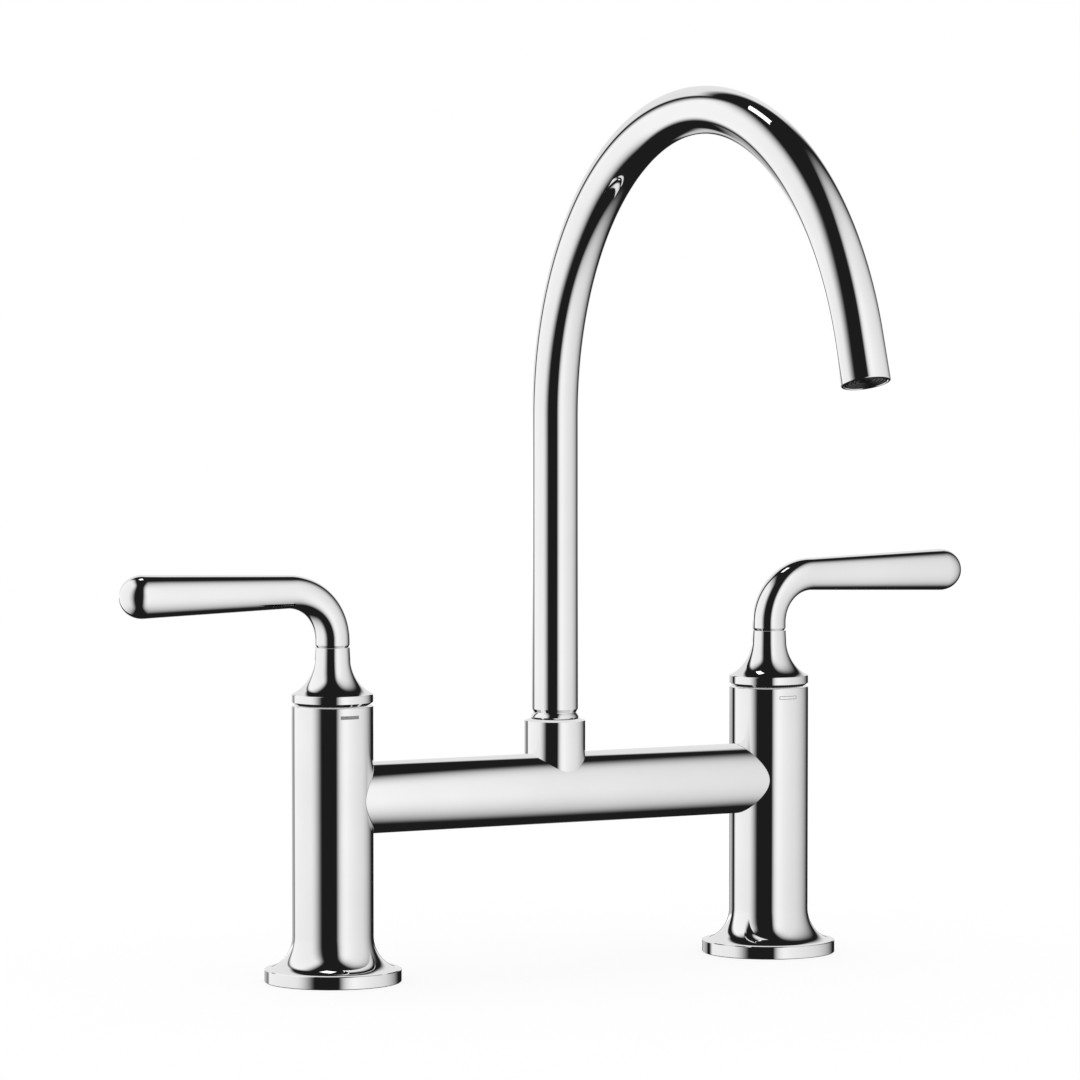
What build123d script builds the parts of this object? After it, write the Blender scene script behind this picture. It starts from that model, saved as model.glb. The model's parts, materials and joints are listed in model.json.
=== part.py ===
from build123d import *

import os
from math import cos, radians, sin, sqrt

# A bridge kitchen faucet: two valve posts joined by a bridge tube, lever handles on
# quarter-turn ceramic cartridges, and a swan-neck spout that swivels in the middle.
# Millimetres. The origin is on the worktop, midway between the posts; +X runs along
# the bridge to the cold side, -Y points at the user, +Z is up.

os.makedirs("parts", exist_ok=True)

# ---------------------------------------------------------------- driving dimensions

# Fits
close_gap = 0.05  # radial gap of screwed, pressed and brazed pieces
run_gap = 0.08  # radial gap of a shaft that turns in its bore
free_gap = 0.3  # gap between faces that pass without touching

# Worktop and fixings under it
hole_spacing = 203.2  # between the two valve axes, 8 in
worktop = 30.0  # thickness clamped between flange and gasket
gasket_height = 3.0
washer_height = 2.0
nut_height = 9.0
nut_land = 4.9  # from the shank to the nut's flats
gasket_land = 9.0  # from the shank to the gasket's rim
shank_tail = 12.0  # shank left under the nut
shank_grip = 14.0  # shank screwed up into the post
shank_cover = 3.35  # post wall outside the shank
inlet_radius = 10.48  # 1/2 in pipe thread
inlet_wall = 2.98
inlet_length = 14.0
thread_chamfer = 1.0

# Quarter-turn cartridge
spindle_radius = 3.9
disc_radius = 6.6
sleeve_wall = 1.5
chamber_gap = 1.4  # water gap round the sleeve
thread_step = 0.68  # thread over the chamber
hexagon_land = 0.52  # hexagon's flats over the thread
hexagon_height = 6.0
spanner_gap = 0.6  # hexagon's corners to the post's bore
bonnet_depth = 15.9  # depth of the hexagon's seat below the post's top
neck_wall = 3.2
neck_top_depth = 2.6  # cartridge's neck below the post's top
seal_radius_step = 0.1
seat_seal_height = 2.2
seat_seal_width = 2.7
seat_lift = 0.4  # sleeve stands clear of the seat, on the seal
fixed_disc_height = 3.0
moving_disc_height = 2.5
port_rim = 1.2  # disc left outside its two curved ports
port_width = 2.8
port_sweep = 40.0
fork_width = 4.4  # spindle's foot that drives the moving disc
fork_bite = 1.0  # depth of the foot in the moving disc's slot
fork_height = 10.0
window_width = 9.0
window_height = 7.6
seal_groove_depth = 1.1
seal_width = 2.0
clip_height = 0.9
clip_groove = 0.7
clip_rim = 1.7
clip_opening = 50.0
clip_land = 0.1  # cartridge's neck to the clip
spline_teeth = 20
spline_depth = 0.5
spline_tooth = 0.62
spline_start = 1.1  # above the clip
spline_length = 9.4

# Posts and bridge
post_wall = 3.15
post_rise = 38.1  # bridge axis to the post's top
flange_rim = 5.3
flange_land = 2.09  # flat edge outside the flare
flange_chamfer = 0.3
flare_radius = 14.0
flare_sweep = 70.0
base_seal_height = 1.8
base_seal_land = 3.5  # rim left inside and outside the seal
bridge_height = 73.8
bridge_bore = 10.06
bridge_wall = 4.5
seat_margin = 2.5  # post left between the bridge port and the seat
thread_margin = 2.0  # and between the port and the thread
seat_web = 3.0
nipple_wall = 2.5
nipple_insert = 12.0  # nipple in the bridge
nipple_groove_depth = 1.2
nipple_seal_width = 2.2
chamber_clear = 1.2  # nipple's end to the cartridge chamber

# Glide ring between post and hub
glide_lip = 0.95
glide_lip_depth = 0.8
glide_lift = 0.5  # hub above the post
glide_wall = 1.5
glide_depth = 3.5

# Hub
hub_inset = 0.03  # hub's collar inside the post's face
hub_chamfer_rise = 1.1
hub_chamfer_inset = 1.5
hub_collar = 4.2
hub_flare = 16.4
hub_neck_tip = 7.0
hub_neck_taper = 0.2
hub_neck_height = 4.05
hub_web = 3.0  # floor that the hub screw holds down
adapter_wall = 2.0  # spline adapter's flats over the spindle
relief_land = 1.6
relief_rim = 4.4
relief_depth = 3.0

# Hub screw and lever stud
screw_radius = 2.0
screw_hole_gap = 0.15
screw_reach = 12.0
screw_head_height = 2.8
stud_radius = 4.0
stud_head_gap = 0.4  # screw head inside the stud's thread
stud_clear = 1.6
stud_grip = 6.6  # stud in the lever
key_share = 0.5  # hexagon socket's corner radius to the screw's
key_depth = 1.6

# Lever
lever_chamfer_rise = 1.1
lever_chamfer_inset = 0.65
lever_inset = 0.05  # lever's foot inside the hub's neck
lever_foot = 3.26  # straight foot below the bend
lever_bend = 19.8
lever_bend_end = 6.72
lever_tip_radius = 8.73
lever_reach = 93.1  # post axis to the tip
lever_cap_share = 1.06  # rounded tip's length to its radius

# Spout socket, stem and their rings
tube_radius = 9.44
tube_wall = 1.0
stem_inset = 0.14  # stem inside the tube's face
stem_wall = 2.6
spigot_height = 13.0
socket_wall = 2.85
socket_skirt = 1.0
socket_floor = 2.0
socket_bed = 0.15  # socket's seat over the bridge's bore
socket_cone_rise = 0.7
socket_cone_inset = 2.25
thrust_height = 1.5
stem_land = 1.15
stem_seal_width = 2.2
stem_seal_depth = 1.5
lock_width = 3.6  # groove in the stem that the lock screw's tip rides in
lock_depth = 1.6
lock_step = 0.5  # lock screw's thread over its tip
lock_recess = 0.4  # lock screw's end inside the socket's face
slide_height = 2.4
slide_depth = 1.0
ferrule_swell = 0.41  # ferrule's widest ring over the tube
ferrule_waist = 0.14  # its waist inside the tube's face
ferrule_neck = 0.74  # and its neck
ferrule_swell_rise = 0.5
ferrule_waist_rise = 1.1
ferrule_neck_rise = 0.7
ferrule_neck_height = 0.2

# Spout tube
tube_chamfer_rise = 1.3
tube_chamfer_inset = 0.74
riser = 121.6
swan_radius = 123.8
swan_sweep = 162.4
tail = 17.9
tip_round = 0.4

# Aerator
aerator_recess = 0.8
aerator_length = 13.0
aerator_wall = 1.1
aerator_lip = 1.6
aerator_lip_height = 1.5
aerator_seal_height = 1.5
core_recess = 0.7
core_rim = 0.9
core_ring = 0.8
core_slot = 1.35
core_spokes = 6
core_spoke = 0.7

# ---------------------------------------------------------------- sizes that follow

# Radii of the cartridge, from the discs outwards, and of the post around it
sleeve_bore = disc_radius + free_gap
sleeve_radius = sleeve_bore + sleeve_wall
chamber_radius = sleeve_radius + chamber_gap
thread_radius = chamber_radius + thread_step
hexagon_corner = (thread_radius + hexagon_land) / cos(radians(30))
bonnet_bore = hexagon_corner + spanner_gap
post_radius = bonnet_bore + post_wall
neck_radius = spindle_radius + neck_wall
glide_radius = bonnet_bore + glide_lip

# Shank and inlet
shank_radius = post_radius - shank_cover
shank_bore = inlet_radius - inlet_wall
gasket_top = -worktop
washer_top = gasket_top - gasket_height
nut_top = washer_top - washer_height
shank_low = nut_top - nut_height - shank_tail
inlet_low = shank_low - inlet_length

# Flange
flare_out = flare_radius * (1 - cos(radians(flare_sweep)))
flare_up = flare_radius * sin(radians(flare_sweep))
flange_radius = post_radius + flare_out + flange_land
base_seal_inner = shank_radius + base_seal_land
base_seal_outer = flange_radius - base_seal_land

# Bridge and the heights in the post
bridge_radius = bridge_bore + bridge_wall
nipple_radius = bridge_bore - close_gap
nipple_bore = nipple_radius - nipple_wall
post_top = bridge_height + post_rise
seat_z = bridge_height - bridge_bore - seat_margin
thread_low = bridge_height + bridge_bore + thread_margin
hexagon_low = post_top - bonnet_depth
neck_top = post_top - neck_top_depth
seat_hole = sleeve_radius - seat_seal_width

# Stack in the cartridge
fixed_disc_low = seat_z + seat_seal_height
moving_disc_low = fixed_disc_low + fixed_disc_height
moving_disc_top = moving_disc_low + moving_disc_height
fork_low = moving_disc_top - fork_bite
fork_top = fork_low + fork_height
sleeve_top = fork_top + free_gap
spindle_seal_low = (thread_low + hexagon_low) / 2
clip_low = neck_top + clip_land
spline_low = clip_low + clip_height + spline_start
spindle_top = spline_low + spline_length
spline_root = spindle_radius - spline_depth
port_middle = disc_radius - port_rim - port_width / 2
port_arc = CenterArc((0, 0), port_middle, -port_sweep / 2, port_sweep)

# Hub, from its underside up
hub_low = post_top + glide_lift
hub_radius = post_radius - hub_inset
collar_top = hub_low + hub_collar
hub_neck_root = hub_neck_tip + hub_neck_taper
flare_centre = hub_neck_root + hub_flare
neck_low = collar_top + sqrt(hub_flare**2 - (flare_centre - hub_radius) ** 2)
hub_top = neck_low + hub_neck_height
web_low = spindle_top + free_gap
web_top = web_low + hub_web
adapter_corner = (spindle_radius + adapter_wall) / cos(radians(30))
screw_head = stud_radius - stud_head_gap
head_top = web_top + screw_head_height
stud_low = head_top + stud_clear
stud_top = hub_top + stud_grip

# Lever
lever_foot_radius = hub_neck_tip - lever_inset
bend_low = hub_top + lever_foot
grip_z = bend_low + lever_bend
cap_length = lever_cap_share * lever_tip_radius
grip_end = lever_reach - cap_length

# Spout joint, from the bridge up
tube_bore = tube_radius - tube_wall
stem_radius = tube_radius - stem_inset
stem_bore = stem_radius - stem_wall
spigot_radius = tube_bore - close_gap
socket_bore = stem_radius + free_gap
socket_radius = socket_bore + socket_wall
bed_radius = socket_radius - socket_skirt
bed_z = bridge_height + bridge_bore + socket_bed
floor_z = bed_z + socket_floor
stem_low = floor_z + thrust_height
seal_a_low = stem_low + stem_land
seal_b_low = seal_a_low + stem_seal_width + stem_land
lock_low = seal_b_low + stem_seal_width + stem_land
lock_z = lock_low + lock_width / 2
lock_tip_radius = lock_width / 2 - free_gap
lock_radius = lock_tip_radius + lock_step
slide_low = lock_low + lock_width + stem_land
socket_top = slide_low + slide_height
ferrule_low = socket_top + free_gap
swell_z = ferrule_low + ferrule_swell_rise
waist_z = swell_z + ferrule_waist_rise
neck_z = waist_z + ferrule_neck_rise
tube_low = neck_z + ferrule_neck_height
riser_top = tube_low + riser
aerator_radius = tube_bore - close_gap
aerator_bore = aerator_radius - aerator_wall
core_radius = aerator_bore - close_gap
core_length = aerator_length - aerator_lip_height - aerator_seal_height - core_recess


# ---------------------------------------------------------------- helpers


def ring(inner, outer, low, high):
    """Draw a turned ring's section: radii along the sketch's X, heights along its Y."""
    with Locations(((inner + outer) / 2, (low + high) / 2)):
        Rectangle(outer - inner, high - low)


def disc_ports():
    """Cut the two curved ports of a ceramic disc, at the sketch's +X and -X."""
    with PolarLocations(0, 2):
        SlotArc(port_arc, port_width, mode=Mode.SUBTRACT)


def spline(gap):
    """Draw the spindle's spline, or with a gap the broached hole that fits round it."""
    tooth_length = 2 * spline_depth
    Circle(spline_root + gap)
    with PolarLocations(spindle_radius + gap - tooth_length / 2, spline_teeth):
        Rectangle(tooth_length, spline_tooth + 2 * gap)


def save(piece, name):
    """Label a finished piece and write it to its own file."""
    piece.part.label = name
    export_step(piece.part, f"parts/{name}.step")


# ---------------------------------------------------------------- the two valve posts

for side, outward in (("hot", -1), ("cold", 1)):
    foot = Plane((outward * hole_spacing / 2, 0, 0), x_dir=(outward, 0, 0), z_dir=(0, 0, 1))
    section = Plane(foot.origin, x_dir=foot.x_dir, z_dir=-foot.y_dir)
    valve_axis = Axis(foot.origin, (0, 0, 1))
    inward = Plane((*tuple(foot.origin)[:2], bridge_height), x_dir=(0, 1, 0), z_dir=-foot.x_dir)

    # Post: a turned column with a flared flange, bored through from the top
    with BuildPart() as post:
        with BuildSketch(section):
            with BuildLine():
                rim = flange_radius - flange_chamfer
                flare_foot = (post_radius + flare_out, flange_rim)
                flare_head = (post_radius, flange_rim + flare_up)
                Polyline((0, 0), (rim, 0), (flange_radius, flange_chamfer))
                Polyline((flange_radius, flange_chamfer), (flange_radius, flange_rim - flange_chamfer))
                Line((flange_radius, flange_rim - flange_chamfer), (rim, flange_rim))
                Line((rim, flange_rim), flare_foot)
                RadiusArc(flare_foot, flare_head, flare_radius)
                Polyline(flare_head, (post_radius, post_top), (0, post_top), (0, 0))
            make_face()
        revolve(axis=valve_axis)
        with BuildSketch(section):
            ring(0, shank_radius + close_gap, 0, shank_grip)
            ring(0, shank_bore, shank_grip, seat_z - seat_web)
            ring(0, seat_hole, seat_z - seat_web, seat_z)
            ring(0, chamber_radius, seat_z, thread_low)
            ring(0, thread_radius + close_gap, thread_low, hexagon_low)
            ring(0, bonnet_bore, hexagon_low, post_top)
            ring(bonnet_bore, glide_radius, post_top - glide_lip_depth, post_top)
            ring(base_seal_inner, base_seal_outer, 0, base_seal_height)
        revolve(axis=valve_axis, mode=Mode.SUBTRACT)
        with BuildSketch(inward):
            Circle(bridge_bore)
        extrude(amount=post_radius, mode=Mode.SUBTRACT)
    save(post, f"{side}_post")

    # Seal under the flange, flush with the worktop
    with BuildPart() as base_seal:
        with BuildSketch(section):
            ring(base_seal_inner + close_gap, base_seal_outer - close_gap, 0, base_seal_height)
        revolve(axis=valve_axis)
    save(base_seal, f"{side}_base_seal")

    # Shank: screwed into the post, with the supply thread at its lower end
    with BuildPart() as shank:
        with BuildSketch(section):
            ring(shank_bore, shank_radius, shank_low, shank_grip)
            ring(shank_bore, inlet_radius, inlet_low, shank_low)
        revolve(axis=valve_axis)
        ends = shank.edges().filter_by(GeomType.CIRCLE).group_by(Axis.Z)
        chamfer(ends[0].sort_by(SortBy.RADIUS)[-1], thread_chamfer)
    save(shank, f"{side}_shank")

    # Gasket, washer and nut that draw the post down on the worktop
    with BuildPart() as deck_gasket:
        with BuildSketch(section):
            ring(shank_radius + free_gap, shank_radius + gasket_land, washer_top, gasket_top)
        revolve(axis=valve_axis)
    save(deck_gasket, f"{side}_deck_gasket")

    with BuildPart() as deck_washer:
        with BuildSketch(section):
            ring(shank_radius + free_gap, shank_radius + gasket_land, nut_top, washer_top)
        revolve(axis=valve_axis)
    save(deck_washer, f"{side}_deck_washer")

    with BuildPart() as deck_nut:
        with BuildSketch(foot.offset(nut_top)):
            RegularPolygon(shank_radius + nut_land, 6, major_radius=False)
            Circle(shank_radius + close_gap, mode=Mode.SUBTRACT)
        extrude(amount=-nut_height)
    save(deck_nut, f"{side}_deck_nut")

    # Nipple: carries the water from the post into the bridge, with a seal at each end
    nipple_start = chamber_radius + chamber_clear
    nipple_length = post_radius + nipple_insert - nipple_start
    post_seal = (nipple_start + post_radius) / 2
    bridge_seal = post_radius + nipple_insert / 2
    groove_floor = nipple_radius - nipple_groove_depth
    with BuildPart() as bridge_nipple:
        with BuildSketch(inward.offset(nipple_start)):
            Circle(nipple_radius)
            Circle(nipple_bore, mode=Mode.SUBTRACT)
        extrude(amount=nipple_length)
        for middle in (post_seal, bridge_seal):
            with BuildSketch(inward.offset(middle)):
                Circle(nipple_radius)
                Circle(groove_floor, mode=Mode.SUBTRACT)
            extrude(amount=nipple_seal_width / 2, both=True, mode=Mode.SUBTRACT)
    save(bridge_nipple, f"{side}_bridge_nipple")

    with BuildPart() as nipple_seals:
        for middle in (post_seal, bridge_seal):
            with BuildSketch(inward.offset(middle)):
                Circle(nipple_radius)
                Circle(groove_floor, mode=Mode.SUBTRACT)
            extrude(amount=nipple_seal_width / 2, both=True)
    save(nipple_seals, f"{side}_nipple_seals")

    # Cartridge body: sleeve with two windows, thread, hexagon and neck
    with BuildPart() as cartridge_body:
        with BuildSketch(section):
            ring(0, sleeve_radius, seat_z + seat_lift, thread_low)
            ring(0, thread_radius, thread_low, hexagon_low)
            ring(0, neck_radius, hexagon_low, neck_top)
        revolve(axis=valve_axis)
        with BuildSketch(foot.offset(hexagon_low)):
            RegularPolygon(hexagon_corner, 6)
        extrude(amount=hexagon_height)
        with BuildSketch(section):
            ring(0, sleeve_bore, seat_z, sleeve_top)
            ring(0, spindle_radius + run_gap, sleeve_top, neck_top)
        revolve(axis=valve_axis, mode=Mode.SUBTRACT)
        with BuildSketch(section):
            with Locations((0, moving_disc_top + window_height / 2)):
                Rectangle(window_width, window_height)
        extrude(amount=thread_radius, both=True, mode=Mode.SUBTRACT)
    save(cartridge_body, f"{side}_cartridge_body")

    with BuildPart() as seat_seal:
        with BuildSketch(section):
            ring(seat_hole, sleeve_bore - seal_radius_step, seat_z, fixed_disc_low)
        revolve(axis=valve_axis)
    save(seat_seal, f"{side}_seat_seal")

    # Ceramic discs: the ports line up after a quarter turn
    with BuildPart() as fixed_disc:
        with BuildSketch(foot.offset(fixed_disc_low)):
            Circle(sleeve_bore - close_gap)
            disc_ports()
        extrude(amount=fixed_disc_height)
    save(fixed_disc, f"{side}_fixed_disc")

    with BuildPart() as moving_disc:
        with BuildSketch(foot.offset(moving_disc_low).rotated((0, 0, 90))):
            Circle(disc_radius)
            disc_ports()
        extrude(amount=moving_disc_height)
        with BuildSketch(foot.offset(fork_low)):
            Rectangle(2 * disc_radius, fork_width + 2 * close_gap)
        extrude(amount=fork_bite, mode=Mode.SUBTRACT)
    save(moving_disc, f"{side}_moving_disc")

    # Spindle: a flat foot in the disc's slot, a sealed stem and a splined head
    with BuildPart() as spindle:
        with BuildSketch(foot.offset(fork_low)):
            Circle(disc_radius)
            Rectangle(2 * disc_radius, fork_width, mode=Mode.INTERSECT)
        extrude(amount=fork_height)
        with BuildSketch(section):
            ring(0, spindle_radius, fork_top, spline_low)
        revolve(axis=valve_axis)
        with BuildSketch(foot.offset(spline_low)):
            spline(0)
        extrude(amount=spline_length)
        with BuildSketch(section):
            ring(
                spindle_radius - seal_groove_depth,
                spindle_radius,
                spindle_seal_low,
                spindle_seal_low + seal_width,
            )
            ring(spindle_radius - clip_groove, spindle_radius, clip_low, clip_low + clip_height)
            ring(0, screw_radius + close_gap, web_top - screw_reach - free_gap, spindle_top)
        revolve(axis=valve_axis, mode=Mode.SUBTRACT)
    save(spindle, f"{side}_spindle")

    with BuildPart() as spindle_seal:
        with BuildSketch(section):
            ring(
                spindle_radius - seal_groove_depth,
                spindle_radius + run_gap / 2,
                spindle_seal_low,
                spindle_seal_low + seal_width,
            )
        revolve(axis=valve_axis)
    save(spindle_seal, f"{side}_spindle_seal")

    with BuildPart() as spindle_clip:
        with BuildSketch(foot.offset(clip_low)):
            Circle(spindle_radius + clip_rim)
            Circle(spindle_radius - clip_groove, mode=Mode.SUBTRACT)
            with BuildLine():
                mouth = PolarLine((0, 0), 2 * spindle_radius + clip_rim, -clip_opening / 2)
                cheek = PolarLine((0, 0), 2 * spindle_radius + clip_rim, clip_opening / 2)
                Line(mouth @ 1, cheek @ 1)
            make_face(mode=Mode.SUBTRACT)
        extrude(amount=clip_height)
    save(spindle_clip, f"{side}_spindle_clip")

    # Spline adapter: a plastic hexagon broached to fit the spindle
    with BuildPart() as spline_adapter:
        with BuildSketch(foot.offset(hub_low)):
            RegularPolygon(adapter_corner, 6)
        extrude(amount=web_low - hub_low)
        with BuildSketch(foot.offset(hub_low)):
            spline(close_gap)
        extrude(amount=web_low - hub_low, mode=Mode.SUBTRACT)
    save(spline_adapter, f"{side}_spline_adapter")

    # Glide ring: a flanged plastic ring that the hub turns on
    with BuildPart() as glide_ring:
        with BuildSketch(section):
            glide_inner = bonnet_bore - close_gap - glide_wall
            lip_low = post_top - glide_lip_depth
            ring(glide_inner, bonnet_bore - close_gap, post_top - glide_depth, lip_low)
            ring(glide_inner, glide_radius - close_gap, lip_low, hub_low)
        revolve(axis=valve_axis)
    save(glide_ring, f"{side}_glide_ring")

    # Hub: a collar, a concave flare and a short neck
    with BuildPart() as hub:
        with BuildSketch(section):
            with BuildLine():
                Line((0, hub_low), (hub_radius - hub_chamfer_inset, hub_low))
                Line(
                    (hub_radius - hub_chamfer_inset, hub_low),
                    (hub_radius, hub_low + hub_chamfer_rise),
                )
                Line((hub_radius, hub_low + hub_chamfer_rise), (hub_radius, collar_top))
                RadiusArc((hub_radius, collar_top), (hub_neck_root, neck_low), hub_flare)
                Polyline(
                    (hub_neck_root, neck_low), (hub_neck_tip, hub_top), (0, hub_top), (0, hub_low)
                )
            make_face()
        revolve(axis=valve_axis)
        with BuildSketch(section):
            ring(0, screw_radius + screw_hole_gap, web_low, web_top)
            ring(0, stud_radius + close_gap, web_top, hub_top)
            ring(
                adapter_corner + relief_land,
                hub_radius - relief_rim,
                hub_low,
                hub_low + relief_depth,
            )
        revolve(axis=valve_axis, mode=Mode.SUBTRACT)
        with BuildSketch(foot.offset(hub_low)):
            RegularPolygon(adapter_corner + close_gap, 6)
        extrude(amount=web_low - hub_low, mode=Mode.SUBTRACT)
    save(hub, f"{side}_hub")

    # Hub screw, reached through the hub's neck before the lever goes on
    with BuildPart() as hub_screw:
        with BuildSketch(section):
            ring(0, screw_radius, web_top - screw_reach, web_top)
            ring(0, screw_head, web_top, head_top)
        revolve(axis=valve_axis)
        with BuildSketch(foot.offset(head_top)):
            RegularPolygon(screw_head * key_share, 6)
        extrude(amount=-key_depth, mode=Mode.SUBTRACT)
    save(hub_screw, f"{side}_hub_screw")

    # Stud that joins lever and hub
    with BuildPart() as lever_stud:
        with BuildSketch(section):
            ring(0, stud_radius, stud_low, stud_top)
        revolve(axis=valve_axis)
        chamfer(lever_stud.edges().filter_by(GeomType.CIRCLE), thread_chamfer / 2)
        with BuildSketch(foot.offset(stud_low)):
            RegularPolygon(stud_radius * key_share, 6)
        extrude(amount=key_depth, mode=Mode.SUBTRACT)
    save(lever_stud, f"{side}_lever_stud")

    # Lever: a bend out of the hub, then a grip that swells to a rounded tip
    with BuildPart() as lever:
        with BuildSketch(section):
            with BuildLine():
                Line((0, hub_top), (lever_foot_radius - lever_chamfer_inset, hub_top))
                Line(
                    (lever_foot_radius - lever_chamfer_inset, hub_top),
                    (lever_foot_radius, hub_top + lever_chamfer_rise),
                )
                Polyline(
                    (lever_foot_radius, hub_top + lever_chamfer_rise),
                    (lever_foot_radius, bend_low),
                    (0, bend_low),
                    (0, hub_top),
                )
            make_face()
        revolve(axis=valve_axis)
        with BuildLine(section):
            bend = CenterArc((lever_bend, bend_low), lever_bend, 180, -90)
        with BuildSketch(Plane(origin=bend @ 0, z_dir=bend % 0)):
            Circle(lever_foot_radius)
        with BuildSketch(Plane(origin=bend @ 1, z_dir=bend % 1)):
            Circle(lever_bend_end)
        sweep(multisection=True)
        grip_axis = Axis(bend @ 1, foot.x_dir)
        with BuildSketch(section):
            with BuildLine():
                Line((lever_bend, grip_z), (lever_bend, grip_z + lever_bend_end))
                Line(
                    (lever_bend, grip_z + lever_bend_end), (grip_end, grip_z + lever_tip_radius)
                )
                EllipticalCenterArc((grip_end, grip_z), cap_length, lever_tip_radius, arc_size=90)
                Line((lever_reach, grip_z), (lever_bend, grip_z))
            make_face()
        revolve(axis=grip_axis)
        with BuildSketch(section):
            ring(0, stud_radius + close_gap, hub_top, stud_top + free_gap)
        revolve(axis=valve_axis, mode=Mode.SUBTRACT)
    save(lever, f"{side}_lever")

# ---------------------------------------------------------------- bridge and socket

bridge_end = Plane.YZ.offset(-hole_spacing / 2)
front = Plane.XZ
spout_axis = Axis.Z

# Bridge tube: coped to both posts, with a bed for the spout socket
with BuildPart() as bridge_tube:
    with BuildSketch(bridge_end):
        with Locations((0, bridge_height)):
            Circle(bridge_radius)
            Circle(bridge_bore, mode=Mode.SUBTRACT)
    extrude(amount=hole_spacing)
    with BuildSketch(Plane.XY):
        with GridLocations(hole_spacing, 0, 2, 1):
            Circle(post_radius + close_gap)
    extrude(amount=post_top, mode=Mode.SUBTRACT)
    with BuildSketch(front):
        ring(0, bed_radius + close_gap, bed_z, bridge_height + bridge_radius)
        ring(0, stem_bore, bridge_height, bed_z)
    revolve(axis=spout_axis, mode=Mode.SUBTRACT)
save(bridge_tube, "bridge_tube")

# Spout socket: its skirt is coped to the bridge, its foot stands in the bed
with BuildPart() as spout_socket:
    with BuildSketch(front):
        with BuildLine():
            Polyline(
                (0, bridge_height),
                (socket_radius, bridge_height),
                (socket_radius, socket_top - socket_cone_rise),
                (socket_radius - socket_cone_inset, socket_top),
                (0, socket_top),
                (0, bridge_height),
            )
        make_face()
    revolve(axis=spout_axis)
    with BuildSketch(bridge_end):
        with Locations((0, bridge_height)):
            Circle(bridge_radius + close_gap)
    extrude(amount=hole_spacing, mode=Mode.SUBTRACT)
    with BuildSketch(front):
        ring(0, bed_radius, bed_z, bridge_height + bridge_radius)
    revolve(axis=spout_axis)
    with BuildSketch(front):
        ring(0, stem_bore, bed_z, floor_z)
        ring(0, socket_bore, floor_z, socket_top)
    revolve(axis=spout_axis, mode=Mode.SUBTRACT)
    with BuildSketch(Plane.ZX):
        with Locations((lock_z, 0)):
            Circle(lock_radius + close_gap)
    extrude(amount=socket_radius, mode=Mode.SUBTRACT)
save(spout_socket, "spout_socket")

# Thrust ring on the socket's floor: the stem turns on it
with BuildPart() as thrust_ring:
    with BuildSketch(front):
        ring(stem_bore, socket_bore - close_gap, floor_z, stem_low)
    revolve(axis=spout_axis)
save(thrust_ring, "thrust_ring")

# Lock screw at the back: its tip rides in the stem's groove and holds the spout down
with BuildPart() as lock_screw:
    lock_tip = stem_radius - lock_depth + free_gap
    with BuildSketch(Plane.ZX.offset(lock_tip)):
        with Locations((lock_z, 0)):
            Circle(lock_tip_radius)
    extrude(amount=socket_bore - lock_tip)
    with BuildSketch(Plane.ZX.offset(socket_bore)):
        with Locations((lock_z, 0)):
            Circle(lock_radius)
    extrude(amount=socket_wall - lock_recess)
    with BuildSketch(Plane.ZX.offset(socket_radius - lock_recess)):
        with Locations((lock_z, 0)):
            RegularPolygon(lock_radius * key_share, 6)
    extrude(amount=-key_depth, mode=Mode.SUBTRACT)
save(lock_screw, "lock_screw")

# ---------------------------------------------------------------- the swivelling spout

# Stem: ferrule ring in view, spigot up in the tube, grooved shaft down in the socket
with BuildPart() as spout_stem:
    with BuildSketch(front):
        ferrule = [
            (stem_radius, ferrule_low),
            (tube_radius + ferrule_swell, swell_z),
            (tube_radius - ferrule_waist, waist_z),
            (tube_radius - ferrule_neck, neck_z),
            (tube_radius - ferrule_neck, tube_low),
        ]
        with BuildLine():
            Polyline(
                (0, stem_low),
                (stem_radius, stem_low),
                *ferrule,
                (spigot_radius, tube_low),
                (spigot_radius, tube_low + spigot_height),
                (0, tube_low + spigot_height),
                (0, stem_low),
            )
        make_face()
    revolve(axis=spout_axis)
    with BuildSketch(front):
        ring(0, stem_bore, stem_low, tube_low + spigot_height)
        for seal_low in (seal_a_low, seal_b_low):
            ring(stem_radius - stem_seal_depth, stem_radius, seal_low, seal_low + stem_seal_width)
        ring(stem_radius - lock_depth, stem_radius, lock_low, lock_low + lock_width)
        ring(stem_radius - slide_depth, stem_radius, slide_low, socket_top)
    revolve(axis=spout_axis, mode=Mode.SUBTRACT)
save(spout_stem, "spout_stem")

with BuildPart() as stem_seals:
    with BuildSketch(front):
        for seal_low in (seal_a_low, seal_b_low):
            ring(
                stem_radius - stem_seal_depth,
                socket_bore - close_gap,
                seal_low,
                seal_low + stem_seal_width,
            )
    revolve(axis=spout_axis)
save(stem_seals, "stem_seals")

with BuildPart() as slide_ring:
    with BuildSketch(front):
        ring(stem_radius - slide_depth, socket_bore - run_gap, slide_low, socket_top)
    revolve(axis=spout_axis)
save(slide_ring, "slide_ring")

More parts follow.
